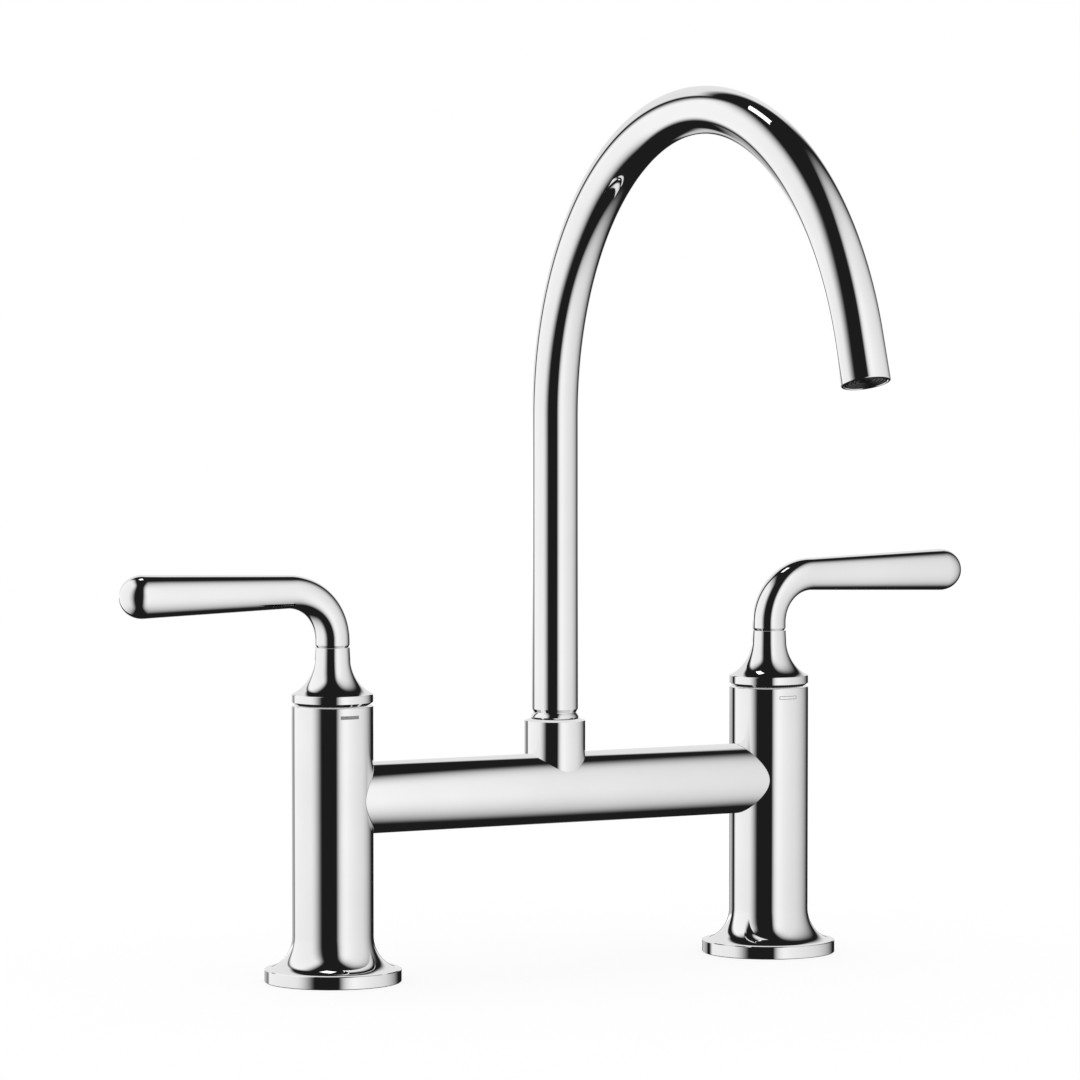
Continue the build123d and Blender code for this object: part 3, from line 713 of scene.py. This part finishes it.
# %% [markdown]
# ## The levers
#
# A lever rises straight out of the hub, bends through a right angle and swells towards a
# rounded tip. A spin can't change the radius on the way, so the lever is grown ring by
# ring: each ring is extruded, turned about the bend's centre and scaled about its own
# middle. It starts inside, at the closed end of the bore that takes the stud.

# %% Grow the two levers
lever_foot_radius = 6.95
lever_chamfer_inset, lever_chamfer_rise = 0.65, 1.1
lever_bend = 19.8
bend_end_radius = 6.72
lever_tip_radius = (lever_high.y - lever_low.y) / 2
grip_z = lever_high.z - lever_tip_radius
bend_low = grip_z - lever_bend
lever_reach = lever_high.x - valve_x
cap_length = 1.06 * lever_tip_radius  # the tip is a little longer than half a ball
bore_top = 142.3
LEVER_AROUND = 112
BEND_STEPS, GRIP_STEPS, CAP_STEPS = 36, 8, 24


def grow_lever(side):
    """Grow one lever from the end of its bore to its tip."""
    bm = bmesh.new()
    ring = circle(bm, stud_bore, LEVER_AROUND, lift(bore_top))
    bmesh.ops.edgeloop_fill(bm, edges=ring)
    ring = grow(bm, ring, lift(hub_high.z - bore_top))
    radius = stud_bore
    for new_radius, rise in (
        (lever_foot_radius - lever_chamfer_inset, 0),
        (lever_foot_radius, lever_chamfer_rise),
        (lever_foot_radius, bend_low - hub_high.z - lever_chamfer_rise),
    ):
        ring = grow(bm, ring, lift(rise) @ rescale(ring, new_radius / radius))
        radius = new_radius
    bend_centre = Vector((lever_bend, 0, bend_low))
    swing = about(bend_centre, Matrix.Rotation(pi / 2 / BEND_STEPS, 4, "Y"))
    grip_step = (lever_reach - cap_length - lever_bend) / GRIP_STEPS
    for start_radius, end_radius, move, steps in (
        (lever_foot_radius, bend_end_radius, swing, BEND_STEPS),
        (bend_end_radius, lever_tip_radius, Matrix.Translation((grip_step, 0, 0)), GRIP_STEPS),
    ):
        for step in range(1, steps + 1):
            new_radius = start_radius + (end_radius - start_radius) * step / steps
            ring = grow(bm, ring, move @ rescale(ring, new_radius / radius))
            radius = new_radius
    for step in range(1, CAP_STEPS):
        before, now = (pi / 2 * n / CAP_STEPS for n in (step - 1, step))
        slide = Matrix.Translation((cap_length * (sin(now) - sin(before)), 0, 0))
        ring = grow(bm, ring, slide @ rescale(ring, cos(now) / cos(before)))
    tip = corners(grow(bm, ring, Matrix.Identity(4)))
    bmesh.ops.pointmerge(bm, verts=tip, merge_co=(lever_reach, 0, grip_z))
    finish_on_side(bm, side, "lever", "polished", f"{side}_handle", "chrome_handle")


for side in SIDES:
    grow_lever(side)

# %% [markdown]
# ## The bridge and the socket
#
# The bridge is a plain tube whose ends are coped, that is cut to the curve of the posts
# that they meet, and the spout's socket has a skirt coped to the bridge in the same way.
# Where a tube meets a round column of radius R, a point at y from the middle lies
# sqrt(R2 - y2) from the column's axis, so the last ring of corners is moved there.

# %% Make the bridge tube with coped ends
bridge_bore = 10.06
cope_gap = 0.05
cope_round = 0.25
bridge_span = 2 * valve_x


def cope_bridge():
    """Two rings drawn along X, coped and joined at both ends."""
    bm = bmesh.new()
    cope = post_radius + cope_gap
    stand = Matrix.Translation((-valve_x, 0, bridge_z)) @ Matrix.Rotation(pi / 2, 4, "Y")
    ends = []
    for radius in (bridge_radius, bridge_bore):
        near = circle(bm, radius, AROUND, stand)
        far = grow(bm, near, Matrix.Translation((bridge_span, 0, 0)))
        for ring, way in ((near, 1), (far, -1)):
            for vert in corners(ring):
                vert.co.x = way * (-valve_x + sqrt(cope**2 - vert.co.y**2))
        ends.append((near, far))
    for outer, inner in zip(*ends):
        bmesh.ops.bridge_loops(bm, edges=outer + inner)
    bmesh.ops.recalc_face_normals(bm, faces=bm.faces)  # rounding needs to know what is outside
    near, far = ends[0]
    round_edges(bm, near + far, cope_round, segments=3)
    return finish_piece(bm, "bridge_tube_coped", "faucet_body", "chrome_body", ["bridge_tube"])


bridge = cope_bridge()

# %% Turn the spout socket, cope its skirt and drill it for the lock screw
socket_radius = (socket_high.x - socket_low.x) / 2
socket_bore = 9.6
socket_foot, socket_foot_low, socket_floor = 11.45, 84.01, 86.01
water_bore = 6.7
cone_inset, cone_rise = 2.25, 0.7
lock_low, lock_high = box_mm("lock_screw")
lock_hole = (lock_high.z - lock_low.z) / 2 + 0.05
LOCK_AROUND = 48


def drill(bm, cutter):
    """Take one bmesh away from another, and hand back the result."""
    pieces = []
    for made in (bm, cutter):
        mesh = bpy.data.meshes.new("drilling")
        made.to_mesh(mesh)
        made.free()
        pieces.append(bpy.data.objects.new("drilling", mesh))
        bpy.context.scene.collection.objects.link(pieces[-1])
    blank, tool = pieces
    cut = blank.modifiers.new("hole", "BOOLEAN")
    cut.operation = "DIFFERENCE"
    cut.object = tool
    evaluated = blank.evaluated_get(bpy.context.evaluated_depsgraph_get())
    drilled = bpy.data.meshes.new_from_object(evaluated)
    for piece in pieces:
        mesh = piece.data
        bpy.data.objects.remove(piece)
        bpy.data.meshes.remove(mesh)
    result = bmesh.new()
    result.from_mesh(drilled)
    bpy.data.meshes.remove(drilled)
    return result


def turn_socket():
    """Turn the socket with its foot, cope the skirt round the foot, drill the back."""
    bm = bmesh.new()
    cope = bridge_radius + cope_gap
    first = pen = pen_down(bm, water_bore, socket_foot_low)
    pen = line(bm, pen, (socket_foot, socket_foot_low), (socket_foot, bridge_z))
    pen = line(bm, pen, (socket_radius, bridge_z), (socket_radius, socket_high.z - cone_rise))
    pen = line(bm, pen, (socket_radius - cone_inset, socket_high.z), (socket_bore, socket_high.z))
    pen = line(bm, pen, (socket_bore, socket_floor), (water_bore, socket_floor))
    close(bm, pen, first)
    lathe(bm)
    for vert in bm.verts:
        if vert.co.z < bridge_z + 1:  # the skirt's two rims, drawn level with the bridge's axis
            vert.co.z = bridge_z + sqrt(cope**2 - vert.co.y**2)
    cutter = bmesh.new()
    lie_back = lift((lock_low.z + lock_high.z) / 2) @ Matrix.Rotation(-pi / 2, 4, "X")
    start, length = socket_bore - 1, socket_radius - socket_bore + 3  # past the wall both ways
    near = circle(cutter, lock_hole, LOCK_AROUND, lie_back @ lift(start))
    far = grow(cutter, near, Matrix.Translation((0, length, 0)))
    for rim in (near, far):
        bmesh.ops.edgeloop_fill(cutter, edges=rim)
    for made in (bm, cutter):
        bmesh.ops.recalc_face_normals(made, faces=made.faces)
    bm = drill(bm, cutter)
    finish_piece(bm, "spout_socket_turned", "faucet_body", "chrome_body", ["spout_socket"])


turn_socket()

# %% [markdown]
# ## The spout
#
# The stem turns in the socket. Only its ferrule shows: a ring a little wider than the
# tube, just above the socket. A thin black ring in the gap under the ferrule is painted
# shade, which makes that open gap read dark. The tube itself is one length bent into a swan
# neck, so its two walls are grown along the same path of straight, bend and straight, and
# joined at the ends. The outlet's outer edge is rounded over, as a tube end is before plating.

# %% Turn the stem with its ferrule
stem_radius = 9.3
spigot_radius, spigot_rise = 8.39, 13.0
tube_foot = tube_low.z
ferrule = ((9.3, 102.81), (9.85, 103.31), (9.3, 104.41), (8.7, 105.11), (8.7, tube_foot))
# lowest and highest edge of each groove, and its depth
grooves = ((88.66, 90.86, 1.5), (92.01, 94.21, 1.5), (95.36, 98.96, 1.6), (100.11, 102.51, 1.0))
# painted shade: a black ring fills the open gap under the ferrule so that it reads dark
shade_ring_gap, shade_ring_inset = 0.02, 0.15


def turn_stem():
    """Turn the grooved stem as a closed loop."""
    bm = bmesh.new()
    first = pen = pen_down(bm, water_bore, stem_low.z)
    pen = line(bm, pen, (stem_radius, stem_low.z))
    for low, high, depth in grooves:
        floor = stem_radius - depth
        pen = line(bm, pen, (stem_radius, low), (floor, low), (floor, high), (stem_radius, high))
    pen = line(bm, pen, *ferrule, (spigot_radius, tube_foot))
    spigot_top = tube_foot + spigot_rise
    pen = line(bm, pen, (spigot_radius, spigot_top), (water_bore, spigot_top))
    close(bm, pen, first)
    lathe(bm)
    finish_piece(bm, "spout_stem_turned", "spout", "chrome_spout", ["spout_stem"])


def turn_painted_shade_ring():
    """A thin black ring in the open gap between the ferrule and the socket: painted shade."""
    bm = bmesh.new()
    low, high = socket_high.z + cope_gap, ferrule[0][1]
    inner, outer = stem_radius + shade_ring_gap, ferrule[1][0] - shade_ring_inset
    first = pen = pen_down(bm, inner, low)
    pen = line(bm, pen, (outer, low), (outer, high), (inner, high))
    close(bm, pen, first)
    lathe(bm)
    finish_piece(bm, "ferrule_painted_shade_ring", "spout", "black_rubber")


turn_stem()
turn_painted_shade_ring()

# %% Bend the spout tube
tube_wall = 1.0
tube_bore = tube_radius - tube_wall
tube_chamfer_inset, tube_chamfer_rise = 0.74, 1.3
swan_radius = 123.8
swan_turn = 162.4
tail = 17.9
riser_top = tube_high.z - swan_radius - tube_radius
tip_round = 0.4
TUBE_AROUND = 112
SWAN_STEPS = 120


def swan_path():
    """The moves that carry a ring from the top of the foot's chamfer to the outlet."""
    centre = Vector((0, -swan_radius, riser_top))
    swing = about(centre, Matrix.Rotation(radians(swan_turn) / SWAN_STEPS, 4, "X"))
    heading = Matrix.Rotation(radians(swan_turn), 4, "X") @ Vector((0, 0, 1))
    rise = lift(riser_top - tube_foot - tube_chamfer_rise)
    return [rise] + [swing] * SWAN_STEPS + [Matrix.Translation(heading * tail)]


def bend_tube():
    """Grow the outer and the inner wall along the path and join them at both ends."""
    bm = bmesh.new()
    ends = []
    for radius, inset in ((tube_radius, tube_chamfer_inset), (tube_bore, 0)):
        foot = circle(bm, radius - inset, TUBE_AROUND, lift(tube_foot))
        widen = rescale(foot, radius / (radius - inset))
        ring = grow(bm, foot, lift(tube_chamfer_rise) @ widen)
        for move in swan_path():
            ring = grow(bm, ring, move)
        ends.append((foot, ring))
    for outer, inner in zip(*ends):
        bmesh.ops.bridge_loops(bm, edges=outer + inner)
    outlet_rim = ends[0][1]
    round_edges(bm, outlet_rim, tip_round, segments=5)
    finish_piece(bm, "spout_tube_bent", "spout", "chrome_spout", ["spout_tube"])


bend_tube()

# %% [markdown]
# ## The outlet
#
# The aerator closes the tube's end with a dark moulded sleeve and a core of rings and
# spokes, almost flush with the rim. Both are drawn upright on the lathe, as if the outlet
# looked up, and one matrix then lays them on the outlet's own plane.

# %% Turn the aerator's sleeve and build its core
aerator_radius, aerator_bore = tube_bore - 0.05, tube_bore - 1.15
aerator_inset, aerator_length = 0.2, 13.6
aerator_lip, aerator_lip_height = 1.6, 1.5
aerator_edge = 0.25
AERATOR_EDGE_STEPS = 5
core_inset, core_depth = 0.55, 4.0
core_rings = ((7.2, 6.5), (5.7, 5.1), (4.2, 3.6), (2.7, 0.0))  # outer and inner radii
crown_drop, crown_break = 0.12, 0.15  # each ring lies a little lower than the one round it
spoke_count, spoke_width = 12, 0.5
spoke_start, spoke_overlap = 2.5, 0.1
spoke_drop, spoke_depth, spoke_break = 0.8, core_depth - 1.2, 0.08
CORE_AROUND = 96


def outlet_place():
    """Where the outlet's middle is, with Z pointing out of it."""
    place = lift(tube_foot + tube_chamfer_rise)
    for move in swan_path():
        place = move @ place
    return place


def turn_sleeve():
    """The sleeve, with a soft outer edge and a lip inside that holds the core."""
    bm = bmesh.new()
    edge_low = -aerator_inset - aerator_edge
    lip_top, lip_radius = -aerator_length + aerator_lip_height, aerator_bore - aerator_lip
    first = pen = pen_down(bm, aerator_radius, -aerator_length)
    pen = line(bm, pen, (aerator_radius, edge_low))
    pen = arc(bm, pen, (aerator_radius - aerator_edge, edge_low), 90, AERATOR_EDGE_STEPS)
    pen = line(bm, pen, (aerator_bore + aerator_edge, -aerator_inset))
    pen = arc(bm, pen, (aerator_bore + aerator_edge, edge_low), 90, AERATOR_EDGE_STEPS)
    pen = line(bm, pen, (aerator_bore, lip_top), (lip_radius, lip_top))
    pen = line(bm, pen, (lip_radius, -aerator_length))
    close(bm, pen, first)
    lathe(bm)
    finish_piece(
        bm, "aerator_sleeve", "spout", "grey_plastic", ["aerator_housing"], outlet_place()
    )


def build_core():
    """Concentric rings joined by spokes that lie a little deeper."""
    bm = bmesh.new()
    top = -core_inset
    for count, (outer, inner) in enumerate(core_rings):
        crown = top - crown_drop * count
        edge_low = crown - crown_break
        ring = bmesh.new()
        first = pen = pen_down(ring, inner, top - core_depth)
        pen = line(ring, pen, (outer, top - core_depth), (outer, edge_low))
        pen = line(ring, pen, (outer - crown_break, crown))
        if inner:
            pen = line(ring, pen, (inner + crown_break, crown), (inner, edge_low))
            close(ring, pen, first)
        else:
            line(ring, pen, (0, crown))
        lathe(ring, steps=CORE_AROUND)
        add_to(bm, ring)
    reach = core_rings[0][1] + spoke_overlap
    middle = ((reach + spoke_start) / 2, 0, top - spoke_drop - spoke_depth / 2)
    for turn in range(spoke_count):
        spoke = bmesh.new()
        bmesh.ops.create_cube(spoke, size=1)
        size = (reach - spoke_start, spoke_width, spoke_depth)
        bmesh.ops.scale(spoke, vec=size, verts=spoke.verts)
        bmesh.ops.translate(spoke, vec=middle, verts=spoke.verts)
        spin_round = Matrix.Rotation(2 * pi * turn / spoke_count, 3, "Z")
        bmesh.ops.rotate(spoke, verts=spoke.verts, cent=(0, 0, 0), matrix=spin_round)
        round_edges(spoke, spoke.edges[:], spoke_break, segments=1)
        add_to(bm, spoke)
    finish_piece(
        bm, "aerator_core_moulded", "spout", "grey_plastic", ["aerator_core"], outlet_place()
    )


turn_sleeve()
build_core()

# %% [markdown]
# ## What the chrome mirrors
#
# In the photo the chrome mirrors the room and hardly ever its neighbours. Only the arch
# shows the bridge, as a small bright hook on its underside. So mirrors leave out every
# other piece.

# %% Keep only the bridge in the mirrors
for piece in bpy.context.scene.objects:
    piece.visible_glossy = piece == bridge
print("mirrored by the others:", bridge.name)

# %% [markdown]
# ## The camera
#
# The faucet is seen a little from the left and slightly from above, with a long lens, so
# the posts stay parallel. The camera comes before the studio, because the soft boxes that
# the chrome mirrors are hung by their bearing from it.

# %% Set the camera
camera_place = Vector((-1.1289, -2.1256, 0.3167))
camera_yaw = 27.826  # degrees that it looks to the right of straight ahead
camera_pitch = 3.345  # degrees that it looks down
camera_lens = 195.6  # mm
camera_sensor = 36.0  # mm wide
camera_range = 100.0  # metres that it sees


def set_camera():
    """Make the camera and point it."""
    data = bpy.data.cameras.new("camera")
    data.lens = camera_lens
    data.sensor_width = camera_sensor
    data.clip_end = camera_range
    camera = bpy.data.objects.new("camera", data)
    camera.location = camera_place
    camera.rotation_euler = (radians(90 - camera_pitch), 0, radians(-camera_yaw))
    bpy.context.scene.collection.objects.link(camera)
    bpy.context.scene.camera = camera


set_camera()
print(f"camera {camera_place.length:.2f} m away, {camera_lens} mm lens")

# %% [markdown]
# ## The studio
#
# A mirror has no look of its own: the light and dark on chrome is the room around it. The
# room is plain white, which lights every other material evenly. For the chrome alone, a
# black tent stands round the faucet with five soft boxes in it: one on the left, one on
# the right, and three behind, of which two hang low. They fade towards their edges. The
# black between the left and the right one draws the dark band down every upright.

# %% White room and pale floor
floor_size = 12.0
floor_glow = 0.8


def white_room():
    """A plain white world, so a colour renders about as it is written."""
    world = bpy.data.worlds.new("white_room")
    bpy.context.scene.world = world
    world.use_nodes = True
    background = world.node_tree.nodes["Background"]
    background.inputs["Color"].default_value = (1, 1, 1, 1)
    background.inputs["Strength"].default_value = 1.0


def calculate(tree, operation, *values):
    """A Math node on sockets or plain numbers."""
    node = tree.nodes.new("ShaderNodeMath")
    node.operation = operation
    for socket, value in zip(node.inputs, values):
        if isinstance(value, (int, float)):
            socket.default_value = value
        else:
            tree.links.new(value, socket)
    return node.outputs["Value"]


def glow(name, cover, strength):
    """A cover shader with light added, its strength a number or a function of the tree."""
    material = bpy.data.materials.new(name)
    material.use_nodes = True
    tree = material.node_tree
    tree.nodes.clear()
    base = tree.nodes.new(cover)
    light = tree.nodes.new("ShaderNodeEmission")
    both = tree.nodes.new("ShaderNodeAddShader")
    output = tree.nodes.new("ShaderNodeOutputMaterial")
    if callable(strength):
        tree.links.new(strength(tree), light.inputs["Strength"])
    else:
        light.inputs["Strength"].default_value = strength
    tree.links.new(base.outputs["BSDF"], both.inputs[0])
    tree.links.new(light.outputs["Emission"], both.inputs[1])
    tree.links.new(both.outputs["Shader"], output.inputs["Surface"])
    return material, base


def stage_piece(name, bm, material):
    """A mesh that belongs to the studio and not to the faucet."""
    mesh = bpy.data.meshes.new(name)
    bm.to_mesh(mesh)
    bm.free()
    mesh.materials.append(material)
    piece = bpy.data.objects.new(name, mesh)
    bpy.context.scene.collection.objects.link(piece)
    return piece


def only_in_reflections(piece):
    """Keep a piece of the studio out of sight, out of the soft light and out of shadows."""
    piece.visible_camera = piece.visible_diffuse = piece.visible_shadow = False
    piece.visible_transmission = piece.visible_volume_scatter = False


def lay_floor():
    """Matt and pale: white to the camera, with room left for a faint shadow."""

    def camera_glow(tree):
        seen = tree.nodes.new("ShaderNodeLightPath")
        return calculate(tree, "MULTIPLY", seen.outputs["Is Camera Ray"], floor_glow)

    paint, matt = glow("pale_floor_paint", "ShaderNodeBsdfDiffuse", camera_glow)
    matt.inputs["Color"].default_value = (*[1 - floor_glow] * 3, 1)
    bm = bmesh.new()
    bmesh.ops.create_grid(bm, x_segments=1, y_segments=1, size=floor_size)
    floor = stage_piece("floor", bm, paint)
    floor.visible_glossy = False


white_room()
lay_floor()
print(f"floor {2 * floor_size:.0f} m wide")

# %% Black tent and soft boxes
tent_radius = 5.0
tent_black = 0.013

# Bearings are degrees to the right of the camera. Across and up are metres from the point
# of the box's plane that is nearest the faucet: lowest and highest edge, then how far the
# light takes to fade in from each. The two levels are those of the first and last edge.
soft_boxes = {
    "right_box": {
        "bearing": 82.8,
        "tilt": 2.9,
        "distance": 0.61,
        "across": (-2.138, 1.216, 1.565, 1.214),
        "up": (-2.556, 3.181, 2.635, 2.445),
        "levels": (1.455, 0.421),
    },
    "left_box": {
        "bearing": -84.2,
        "tilt": -0.8,
        "distance": 0.515,
        "across": (-0.58, 0.677, 0.2, 0.492),
        "up": (-0.828, 1.404, 0.875, 0.753),
        "levels": (1.034, 0.837),
    },
    "back_box": {
        "bearing": 187.5,
        "tilt": 0.0,
        "distance": 2.2,
        "across": (-1.6, 1.55, 0.7, 0.25),
        "up": (-0.12, 2.5, 0.2, 0.6),
        "levels": (0.82, 0.82),
    },
    "low_strip": {
        "bearing": 206.0,
        "tilt": 0.0,
        "distance": 2.3,
        "across": (-0.75, 0.75, 0.5, 0.2),
        "up": (-0.5, 0.25, 0.25, 0.25),
        "levels": (0.8, 0.25),
    },
    "under_box": {
        "bearing": 190.0,
        "tilt": 0.0,
        "distance": 2.3,
        "across": (-0.6, 0.6, 0.25, 0.3),
        "up": (-1.0, -0.25, 0.4, 0.2),
        "levels": (0.6, 0.6),
    },
}


def hang_soft_box(name, bearing, tilt, distance, across, up, levels):
    """A glowing sheet that fades to nothing at its edges."""

    def box_glow(tree):
        coordinates = tree.nodes.new("ShaderNodeTexCoord")
        split = tree.nodes.new("ShaderNodeSeparateXYZ")
        tree.links.new(coordinates.outputs["Object"], split.inputs["Vector"])
        light = fade(tree, split.outputs["X"], across[0], across[1], *levels, kind="LINEAR")
        for axis, (low, high, fade_low, fade_high) in zip("XY", (across, up)):
            rising = fade(tree, split.outputs[axis], low, low + fade_low, 0, 1)
            falling = fade(tree, split.outputs[axis], high - fade_high, high, 1, 0)
            light = calculate(tree, "MULTIPLY", light, calculate(tree, "MULTIPLY", rising, falling))
        return light

    sheet, _ = glow(name + "_glow", "ShaderNodeBsdfTransparent", box_glow)
    bm = bmesh.new()
    bmesh.ops.create_grid(bm, x_segments=1, y_segments=1, size=1)
    half_size = ((across[1] - across[0]) / 2, (up[1] - up[0]) / 2, 1)
    bmesh.ops.scale(bm, vec=half_size, verts=bm.verts)
    middle = ((across[0] + across[1]) / 2, (up[0] + up[1]) / 2, 0)
    bmesh.ops.translate(bm, vec=middle, verts=bm.verts)
    box = stage_piece(name, bm, sheet)
    turn = radians(bearing - camera_yaw)
    lean = Matrix.Rotation(turn, 4, "Z") @ Matrix.Rotation(pi / 2 + radians(tilt), 4, "X")
    box.matrix_world = lean @ lift(distance)
    only_in_reflections(box)


def pitch_tent():
    """A black sphere round the whole studio, with hardly a glow."""
    cloth, see_through = glow("tent_cloth", "ShaderNodeBsdfTransparent", tent_black)
    see_through.inputs["Color"].default_value = (0, 0, 0, 1)  # nothing shines through it
    bm = bmesh.new()
    bmesh.ops.create_icosphere(bm, subdivisions=4, radius=tent_radius)
    only_in_reflections(stage_piece("tent", bm, cloth))


pitch_tent()
for name, settings in soft_boxes.items():
    hang_soft_box(name, **settings)
print("soft boxes:", ", ".join(soft_boxes))

# %% One small lamp for the sharp highlights
lamp_place = Vector((-0.025, 0.345, 1.235))
lamp_target = Vector((0, -0.05, 0.2))
lamp_size, lamp_radiance = 0.22, 1.6


def hang_lamp():
    """A small square lamp above and behind, seen as the white diamond on the curves."""
    data = bpy.data.lights.new("small_lamp", "AREA")
    data.shape = "SQUARE"
    data.size = lamp_size
    data.energy = lamp_radiance * pi * lamp_size**2
    lamp = bpy.data.objects.new("small_lamp", data)
    lamp.location = lamp_place
    lamp.rotation_euler = (lamp_place - lamp_target).to_track_quat("Z", "Y").to_euler()
    lamp.visible_camera = False
    bpy.context.scene.collection.objects.link(lamp)
    unlit = bpy.data.collections.new("shaded_from_lamp")
    unlit.objects.link(bpy.data.objects["hot_hub_turned"])  # its lever stands before the lamp
    lamp.light_linking.receiver_collection = unlit
    unlit.collection_objects[0].light_linking.link_state = "EXCLUDE"


hang_lamp()
bpy.context.scene.view_settings.view_transform = "Standard"
print("lights:", [light.name for light in bpy.data.lights])
